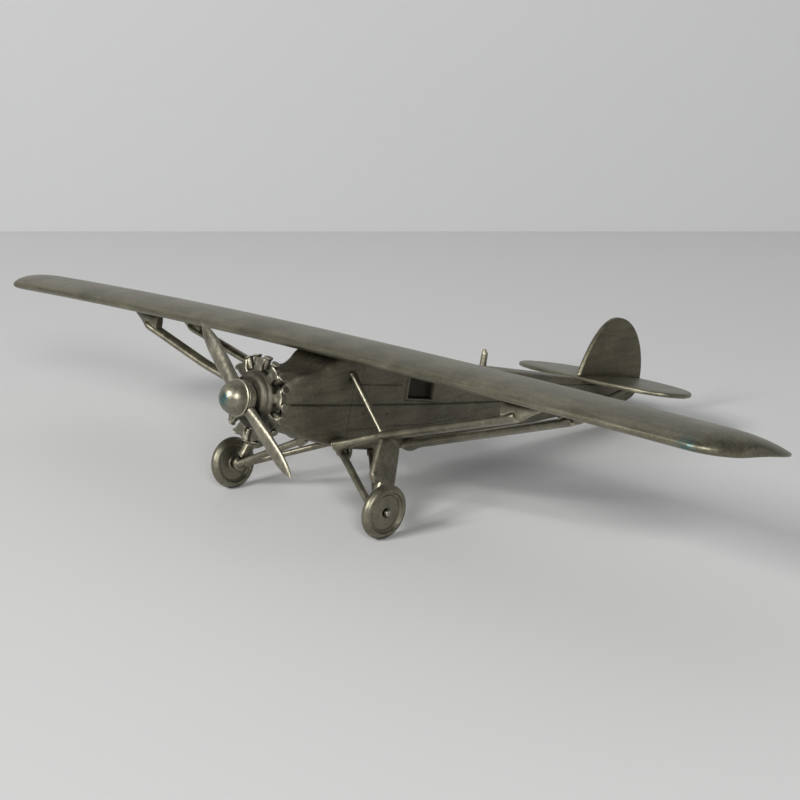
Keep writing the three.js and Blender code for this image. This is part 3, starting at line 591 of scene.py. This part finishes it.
def fin():
    """The fin from its foot to its round top, and the rudder's lower part behind the stern."""
    foot = tail_middle(FIN_FRONT) + TAIL_THICKNESS / 2
    crown = [87.8, FIN_TOP]
    front = bezier([[FIN_FRONT, foot], [79.6, 11.5], [82.6, FIN_TOP], crown])
    back = bezier([crown, [93.3, FIN_TOP], [RUDDER_REAR, 13.2], [RUDDER_REAR, 7.6]])[::-1]
    w = foot + (FIN_TOP - 0.01 - foot) * np.sin(np.linspace(0, np.pi / 2, 110))
    start = np.interp(w, front[:, 1], front[:, 0])
    end = np.interp(w, back[:, 1], back[:, 0])
    upper = slab(w, start, end, FIN_TOP)
    curl = bezier([[RUDDER_REAR, RUDDER_SHOULDER], [96.9, 5.6], [95.6, 4.1], [92.9, 3.4]])[::-1]
    low = np.linspace(RUDDER_FOOT, RUDDER_SHOULDER, 50)
    end = np.maximum(np.interp(low, curl[:, 1], curl[:, 0]), 93.0)
    lower = slab(low, np.full(50, RUDDER_FRONT), end, 20)
    return [upper, lower]


airframe_piece("tailplane_surface", [tailplane()], "tailplane", wing_metal)
airframe_piece("fin_surface", fin(), "fin_and_rudder", fin_metal)


# ---------------------------------------------------------------- bars, struts and legs
def bar(points, chord, thick, swell=((0, 1), (1, 1)), power=1.0, passes=60):
    """An oval bar along a path whose corners are rounded by repeated averaging. The chord lies fore
    and aft, square to the path; swell scales the section along it; power squares its corners."""
    path = softened(points, spacing=0.2, passes=passes)
    along = np.gradient(path, axis=0)
    along /= np.linalg.norm(along, axis=1)[:, None]
    across = np.array([0, 1, 0]) - along[:, 1:2] * along
    across /= np.linalg.norm(across, axis=1)[:, None]
    over = np.cross(along, across)
    size = eased(swell)(np.linspace(0, 1, len(path)))[:, None, None]
    angle = np.linspace(0, 2 * np.pi, 40, endpoint=False)[None, :, None]
    wide = chord / 2 * soft(np.cos(angle), power) * across[:, None]
    high = thick / 2 * soft(np.sin(angle), power) * over[:, None]
    return loft(to_row(path[:, None] + size * (wide + high)))


FRONT_TIP = [42.1, 14.3, 5.45]
REAR_TIP = [43.6, 24.8, 5.6]
FRONT_STRUT = {
    "left": [[5.0, 17.33, -5.8], [12.7, 19.05, -2.7], [28.9, 16.44, 1.78], FRONT_TIP, [42.9, 14.2, 5.9]],
    "right": [[5.0, 17.33, -5.8], [12.7, 19.05, -2.7], [28.9, 16.44, 1.28], FRONT_TIP, [42.9, 14.2, 5.9]],
}
REAR_STRUT = [[5.0, 33.05, -5.3], REAR_TIP, [44.4, 24.6, 6.05]]
CABANE = [[5.0, 18.25, 5.35], [12.75, 19.05, -2.6]]
LEG_TOP = np.array([13.4, 20.0, -3.1])
LEG_MIDDLE = np.array([15.6, 17.3, -9.95])
FRONT_AXLE_ROOT = [[4.1, 18.7, -6.3], [4.9, 18.6, -7.0]]
FRONT_AXLE_STUB = [[4.9, 20.0, -6.0], [5.1, 20.0, -7.0], [5.75, 18.9, -7.9]]
REAR_AXLE_ROOT = [[4.2, 25.7, -6.3], [4.6, 25.3, -7.0]]
TAIL_BRACE = [[1.3, 86.1, 3.7], [7.3, 84.4, 6.75]]
STRUT_SWELL = ((0, 1.5), (0.03, 1.22), (0.08, 1), (0.93, 1), (0.98, 1.1), (1, 0.9))
CABANE_SWELL = ((0, 1.35), (0.1, 1), (0.9, 1), (1, 1.2))
LEG_SWELL = ((0, 1), (0.8, 1), (1, 1.05))
LUG_SWELL = ((0, 1.5), (0.06, 1.55), (0.12, 1.05), (0.9, 1), (1, 1.1))
BRACE_SWELL = ((0, 1.3), (0.15, 1), (0.85, 1), (1, 1.3))
SKID_SWELL = ((0, 1.15), (0.4, 0.85), (0.75, 0.8), (1, 0.75))


def gusset(tip, side):
    """The web between a strut's end and the wing: upright ovals along the span, starting from an
    upright inboard end. Their feet follow the strut and then rise to the wing as the ovals narrow."""
    reach = np.linspace(-2.1, 4.5, 60)
    height = tip[2]
    foot = eased([[-2.1, height - 0.6], [-1.3, height - 0.5], [0, height - 0.35],
                  [0.9, height - 0.3], [2.6, 6.1], [4.5, 7.05]])(reach)
    top = np.full(60, 7.6)
    width = eased([[-2.1, 1.3], [-0.6, 1.6], [1, 1.5], [4.5, 0.6]])(reach)
    angle = np.linspace(0, 2 * np.pi, 36, endpoint=False)
    w = (top + foot)[:, None] / 2 + (top - foot)[:, None] / 2 * soft(np.sin(angle), 0.6)
    u = tip[1] + width[:, None] / 2 * soft(np.cos(angle), 0.7)
    x = side * (tip[0] + reach)[:, None] + 0 * u
    return loft(to_row(np.stack([x, u, w], -1)))


def leg_fairing(side):
    """A flat box down the sprung leg: a superellipse section whose chord opens below the knee, keeps
    nearly constant, and draws in with cut-off corners above the wheel."""
    t = np.concatenate([np.linspace(0, 0.14, 24), np.linspace(0.15, 0.8, 50), np.linspace(0.81, 1, 30)])
    path = LEG_TOP + (LEG_MIDDLE - LEG_TOP) * t[:, None]
    chord = eased([[0, 2.5], [0.05, 3.3], [0.12, 4.1], [0.5, 4.6], [0.86, 4.95], [0.93, 4.2],
                   [1, 2.7]])(t)[:, None]
    thick = eased([[0, 0.7], [0.1, 1.15], [0.85, 1.3], [1, 0.9]])(t)[:, None]
    along = (LEG_MIDDLE - LEG_TOP) / np.linalg.norm(LEG_MIDDLE - LEG_TOP)
    across = np.array([0, 1, 0]) - along[1] * along
    across /= np.linalg.norm(across)
    out = np.cross(along, across)
    angle = np.linspace(0, 2 * np.pi, 64, endpoint=False)
    wide = (chord / 2 * soft(np.cos(angle), 0.42))[..., None] * across
    high = (thick / 2 * soft(np.sin(angle), 0.5))[..., None] * out
    return loft(to_row(on_side(path[:, None] + wide + high, side)))


def wheel_place(word):
    """A wheel's centre in millimetres and the outward direction of its axle, from its joint."""
    joint = JOINTS[f"{word}_wheel_spin"]
    axis = np.array(joint["axis"])
    return np.array(joint["pos_m"]) * PER_METRE, axis * SIDES[word] * np.sign(axis[0])


def strut_piece(name, shells, node):
    """An airframe piece in the rubbed metal of the struts and legs, in place of one node."""
    airframe_piece(name, shells, node, strut_metal)


for word, side in SIDES.items():
    front_bar = bar(on_side(FRONT_STRUT[word], side), 2.4, 1.45, STRUT_SWELL)
    rear_bar = bar(on_side(REAR_STRUT, side), 2.4, 1.4, STRUT_SWELL)
    strut_piece(f"{word}_front_strut", [front_bar, gusset(FRONT_TIP, side)], f"{word}_front_wing_strut")
    strut_piece(f"{word}_rear_strut", [rear_bar, gusset(REAR_TIP, side)], f"{word}_rear_wing_strut")
    cabane = bar(on_side(CABANE, side), 1.1, 1.0, CABANE_SWELL)
    strut_piece(f"{word}_cabane", [cabane], f"{word}_cabane_brace")
    strut_piece(f"{word}_fairing", [leg_fairing(side)], f"{word}_leg_fairing")

    centre, out = wheel_place(word)
    inner = on_side(to_airframe(centre - AXLE_BARS_INBOARD * out), side)
    knob = on_side(to_airframe(centre - LEG_INBOARD * out), side)
    leg = [LEG_MIDDLE + (knob - LEG_MIDDLE) * t for t in (-0.12, 0.5)] + [knob + [0, 0, 1.15]]
    front = FRONT_AXLE_ROOT + [inner + [-0.1, -0.6, 0.1]]
    rear = REAR_AXLE_ROOT + [inner + [-0.1, 0.75, 0.1]]
    shock_leg = bar(on_side(leg, side), 1.8, 1.5, LEG_SWELL, power=0.6, passes=6)
    front_axle_bar = bar(on_side(front, side), 1.15, 1.1, LUG_SWELL, passes=12)
    stub = bar(on_side(FRONT_AXLE_STUB, side), 0.95, 0.95, passes=8)
    rear_axle_bar = bar(on_side(rear, side), 1.1, 1.0, LUG_SWELL, passes=12)
    tail_brace = bar(on_side(TAIL_BRACE, side), 1.1, 0.85, BRACE_SWELL)
    strut_piece(f"{word}_leg", [shock_leg], f"{word}_shock_leg")
    strut_piece(f"{word}_front_axle_bar", [front_axle_bar, stub], f"{word}_front_axle_strut")
    strut_piece(f"{word}_rear_axle_bar", [rear_axle_bar], f"{word}_rear_axle_strut")
    strut_piece(f"{word}_tail_strut", [tail_brace], f"{word}_tail_brace")


def tail_skid():
    """A bent bar from under the stern to the floor, thinning aft and pressed flat where it rests."""
    points = [[0, 87.1, 2.6], [0, 87.6, 0.9], [0, 88.5, -0.9], [0, 90.2, -1.15], [0, 91.4, -1.0]]
    shell, quads, fans = bar(points, 1.35, 1.4, SKID_SWELL, power=0.7, passes=14)
    shell[:, 2] = np.maximum(shell[:, 2], 0)
    return shell, quads, fans


def mast():
    """A turned post with a flared foot, and a smaller turned tip standing a little forward on it."""
    base = float(deck_height(MAST_STATION)) - 0.1
    post = softened([[0.9, 0], [0.75, 0.18], [0.58, 0.4], [0.54, 2.55], [0.42, 2.66], [0.05, 2.68]],
                    passes=3)
    tip = softened([[0.36, 2.3], [0.36, 3.0], [0.28, 3.1], [0.04, 3.12]], passes=2)
    return [loft(to_row(turned(post, 48, (0, MAST_STATION, base), (0, 0, 1)))),
            loft(to_row(turned(tip, 40, (0, MAST_STATION - 0.16, base), (0, 0, 1))))]


strut_piece("skid", [tail_skid()], "tail_skid")
strut_piece("mast", mast(), "compass_mast")


# ---------------------------------------------------------------- engine
def drum():
    """The crankcase: a turned drum with a flat front, a stepped round shoulder and a bore."""
    profile = [[BORE, 1.95], [2.5, 1.95], [2.65, 2.08], [3.3, 2.12], [3.7, 2.25], [3.95, 2.5],
               [4.1, 2.9], [4.35, 3.1], [4.48, 3.35], [4.5, 4.5], [BORE, 4.5]]
    return loft(to_row(turned(softened(profile, closed=True), 144)), wrap=True)


def cylinder_shells(turn):
    """One cylinder, turned about the thrust line: a flaring barrel whose section is a soft box with a
    bell-shaped dish down its front, and two mushroom-headed rocker posts leaning apart."""
    t = np.linspace(0, 1, 34)
    height = BARREL_FOOT + BARREL_HEIGHT * t
    wide = eased([[0, 0.8], [0.35, 0.84], [0.7, 1.2], [0.93, 1.42], [1, 1.3]])(t)[:, None]
    deep = eased([[0, 0.62], [0.4, 0.66], [0.9, 0.6], [1, 0.5]])(t)[:, None]
    angle = np.linspace(0, 2 * np.pi, 48, endpoint=False)
    x = wide * soft(np.cos(angle), 0.4)
    dish = 0.16 * groove(x, 0.5) * step(-np.sin(angle), 0.3, 0.8) * step(t[:, None], 0.2, 0.6)
    u = CYLINDER_STATION + deep * soft(np.sin(angle), 0.45) + dish
    rings = [np.stack([x, u, height[:, None] + 0 * x], -1)]
    post = softened([[0.42, -0.95], [0.5, -0.3], [0.52, 0.45], [0.55, 0.7], [0.7, 0.76],
                     [0.73, 0.84], [0.71, 0.93], [0.58, 1.0], [0.05, 1.02]], passes=3)
    for side in (-1, 1):
        axis = (side * math.sin(POST_LEAN), POST_SWEEP, math.cos(POST_LEAN))
        rings.append(turned(post, 40, on_side(POST_PLACE, side), axis))
    return [loft(to_row(about_thrust(ring, turn))) for ring in rings]


airframe_piece("crankcase_drum", [drum()], "crankcase", drum_metal)
for i in range(CYLINDERS):
    shells = cylinder_shells(2 * math.pi * i / CYLINDERS)
    node = f"cylinder_{i + 1}"
    airframe_piece(f"engine_cylinder_{i + 1}", shells, node, engine_metal)


# ---------------------------------------------------------------- spinner and propeller
def spinner_shell():
    """A half sphere on a thin flange, turned about the thrust line."""
    angle = np.radians(np.linspace(1.5, 86, 60))
    dome = SPINNER_RADIUS * np.stack([np.sin(angle), -np.cos(angle)], -1)
    flange = softened([[2.64, -0.06], [2.82, -0.02], [2.87, 0.04], [2.87, 0.16], [2.8, 0.22],
                       [0.66, 0.22]], spacing=0.05, passes=2)
    return loft(to_row(turned(np.concatenate([dome, flange]), 128)))


def blade(turn):
    """A blade turned about the thrust line: near-elliptic sections whose chord is widest two fifths of
    the way out and narrows to a small tip, untwisting outwards and coning aft."""
    tip = 0.9 + 0.0999 * np.sin(np.linspace(0.05, np.pi / 2, 30))
    t = np.concatenate([np.linspace(0, 0.9, 60), tip])[:, None]
    chord = eased([[0, 2.0], [0.1, 2.2], [0.4, 2.6], [0.68, 2.5], [0.86, 1.8], [0.95, 1.0],
                   [1, 0.25]])(t)
    chord = chord * np.sqrt(np.maximum(1 - t ** 30, 0.003))
    thick = (1.7 - 1.0 * t) * np.sqrt(np.maximum(1 - t ** 14, 0.01))
    angle = np.linspace(0, 2 * np.pi, 48, endpoint=False)
    a = chord / 2 * np.cos(angle)
    b = thick / 2 * soft(np.sin(angle), 1.1)
    twist = np.radians(18 - 12 * t)
    x = a * np.cos(twist) - b * np.sin(twist)
    u = BLADE_STATION + BLADE_CONE * t + a * np.sin(twist) + b * np.cos(twist)
    w = BLADE_ROOT + t * BLADE_LENGTH + 0 * x
    return loft(to_row(about_thrust(np.stack([x, u, w], -1), turn)))


def hub_collar():
    """The collar behind the flange: a turned ring with eased edges."""
    profile = [[BORE, 0.36], [2.6, 0.36], [2.75, 0.46], [2.78, 1.6], [2.68, 1.76], [BORE, 1.76]]
    return loft(to_row(turned(softened(profile, closed=True, passes=3), 128)), wrap=True)


piece("spinner_dome", [spinner_shell()], "propeller_group", ["spinner"], nose_metal)
propeller = [hub_collar(), blade(BLADE_TURN), blade(BLADE_TURN + math.pi)]
piece("blades_and_collar", propeller, "propeller_group", ["propeller"], blade_metal)


# ---------------------------------------------------------------- wheels
def wheel_profile():
    """A closed profile: the tyre's round crown and shoulders, then on each face a step down to the
    disc, a narrow ring groove in it and the hub's face, with a hollow round the bore outside."""
    turn = np.radians(np.linspace(-84, 84, 40))
    half = WHEEL_WIDTH / 2
    crown = np.stack([WHEEL_RADIUS - half + half * np.cos(turn), half * np.sin(turn)], -1).tolist()
    outer = [[3.24, 0.86], [3.14, 0.6], [3.05, 0.52], [2.92, 0.5], [2.84, 0.4], [2.74, 0.4],
             [2.66, 0.5], [1.5, 0.53], [0.85, 0.6], [0.76, 0.42], [0.57, 0.4]]
    inner = [[0.57, -0.6], [1.0, -0.62], [1.25, -0.45], [2.7, -0.42], [2.8, -0.34], [2.92, -0.42],
             [3.08, -0.5], [3.2, -0.84]]
    return softened(inner + crown + outer, spacing=0.055, passes=2, closed=True)


AXLE = softened([[0.05, -2.2], [0.95, -2.2], [1.2, -1.95], [1.2, -1.4], [1.1, -1.35], [0.5, -1.33],
                 [0.42, -1.2], [0.42, 0.7], [0.04, 0.72]], passes=3)
PIN_HEAD = softened([[0.4, 0.72], [0.42, 0.8], [0.46, 0.9], [0.44, 0.99], [0.3, 1.06], [0.03, 1.08]],
                    spacing=0.04, passes=2)
for word in SIDES:
    place = wheel_place(word)
    wheel = loft(turned(wheel_profile(), 144, *place) / PER_METRE, wrap=True)
    axle = loft(turned(AXLE, 64, *place) / PER_METRE)
    pin = loft(turned(PIN_HEAD, 48, *place) / PER_METRE)
    piece(f"{word}_tyre_and_disc", [wheel], f"{word}_wheel_group", [f"{word}_wheel"],
          wheel_metal)
    strut_piece(f"{word}_axle_pin", [axle], f"{word}_axle")
    airframe_piece(f"{word}_hub_pin", [pin], f"{word}_hub_rivet", pin_metal)

for node_name, material in (("engine_mount_plate", engine_metal), ("propeller_shaft", pin_metal)):
    carried = frame["nodes"][node_name]
    carried.data.materials.clear()
    carried.data.materials.append(material)


# ---------------------------------------------------------------- floor, light and camera
def plain(name, colour, roughness, one_sided=False):
    """A matt studio surface with a faint slow variation. A one-sided sheet is clear from its back, so
    that the model can be looked at from behind it."""
    material = bpy.data.materials.new(name)
    material.use_nodes = True
    tree = material.node_tree
    shader = tree.nodes["Principled BSDF"]
    shader.inputs["Roughness"].default_value = roughness
    shader.inputs["Specular IOR Level"].default_value = 0.2
    place = add(tree, "ShaderNodeTexCoord").outputs["Object"]
    slow = add(tree, "ShaderNodeTexNoise", {"Vector": place}, {"Scale": 6.0, "Detail": 2.0})
    shade = tuple(0.97 * v for v in colour)
    tree.links.new(blend_colour(tree, slow.outputs["Fac"], shade, colour), shader.inputs["Base Color"])
    if one_sided:
        behind = add(tree, "ShaderNodeNewGeometry").outputs["Backfacing"]
        clear = add(tree, "ShaderNodeBsdfTransparent").outputs[0]
        shown = add(tree, "ShaderNodeMixShader", {0: behind, 1: shader.outputs[0], 2: clear})
        tree.links.new(shown.outputs[0], tree.nodes["Material Output"].inputs["Surface"])
    return material


def sheet(name, corners, material):
    """A flat stage surface through four corners."""
    mesh = bpy.data.meshes.new(name)
    mesh.from_pydata(corners, [], [(0, 1, 2, 3)])
    mesh.materials.append(material)
    made = bpy.data.objects.new(name, mesh)
    bpy.context.scene.collection.objects.link(made)


AZIMUTH, ELEVATION, DISTANCE = math.radians(46.1), math.radians(14.32), 0.2799
AIM_BEHIND_THRUST, AIM_HEIGHT = 0.03424, 0.015
WALL_DISTANCE = 0.27
STAGE_HALF_WIDTH, FLOOR_LENGTH, WALL_HEIGHT = 1.6, 2.2, 1.4
FLOOR_GREY = (0.62, 0.62, 0.62)
WALL_GREY = (0.52, 0.523, 0.53)

right = Vector((math.cos(AZIMUTH), math.sin(AZIMUTH), 0))
away = Vector((-math.sin(AZIMUTH), math.cos(AZIMUTH), 0))
upright = Vector((0, 0, 1))
back = upright * math.sin(ELEVATION) - away * math.cos(ELEVATION)
aim = Vector((0, THRUST[1] / PER_METRE + AIM_BEHIND_THRUST, AIM_HEIGHT))

wall = aim + away * WALL_DISTANCE
wall.z = 0
wall_ends = [wall - right * STAGE_HALF_WIDTH, wall + right * STAGE_HALF_WIDTH]
near_ends = [end - away * FLOOR_LENGTH for end in wall_ends]
top_ends = [end + upright * WALL_HEIGHT for end in wall_ends]
sheet("floor", near_ends + wall_ends[::-1], plain("floor_paper", FLOOR_GREY, 0.6))
sheet("backdrop", wall_ends + top_ends[::-1], plain("wall_paper", WALL_GREY, 0.8, one_sided=True))


def softbox(name, way, size, power, colour):
    """A square area light one metre from the aim along a direction, looking back at it."""
    light = bpy.data.lights.new(name, "AREA")
    light.shape = "SQUARE"
    light.size = size
    light.energy = power
    light.color = colour
    made = bpy.data.objects.new(name, light)
    made.location = aim + way.normalized()
    made.rotation_euler = (aim - made.location).to_track_quat("-Z", "Y").to_euler()
    bpy.context.scene.collection.objects.link(made)


softbox("front_light", right * 0.12 - away * 0.92 + upright * 0.42,
        size=0.2, power=4.9, colour=(1.0, 1.0, 0.99))
softbox("left_light", upright * 0.52 - away * 0.54 - right * 0.66,
        size=0.26, power=7.8, colour=(1.0, 0.99, 0.97))

world = bpy.data.worlds.new("studio")
world.use_nodes = True
sky = world.node_tree.nodes["Background"]
sky.inputs["Color"].default_value = (0.95, 0.97, 1.0, 1)
sky.inputs["Strength"].default_value = 0.22
bpy.context.scene.world = world
bpy.context.scene.view_settings.view_transform = "Standard"

camera_data = bpy.data.cameras.new("camera")
camera_data.lens = 77.2245
camera_data.sensor_width = 36
camera_data.shift_x = -0.002425
camera_data.shift_y = -0.005175
camera_data.clip_start = 0.01
camera = bpy.data.objects.new("camera", camera_data)
turn = Matrix((right, back.cross(right), back)).transposed().to_4x4()
camera.matrix_world = Matrix.Translation(aim + back * DISTANCE) @ turn
bpy.context.scene.collection.objects.link(camera)
bpy.context.scene.camera = camera

bpy.context.view_layer.update()
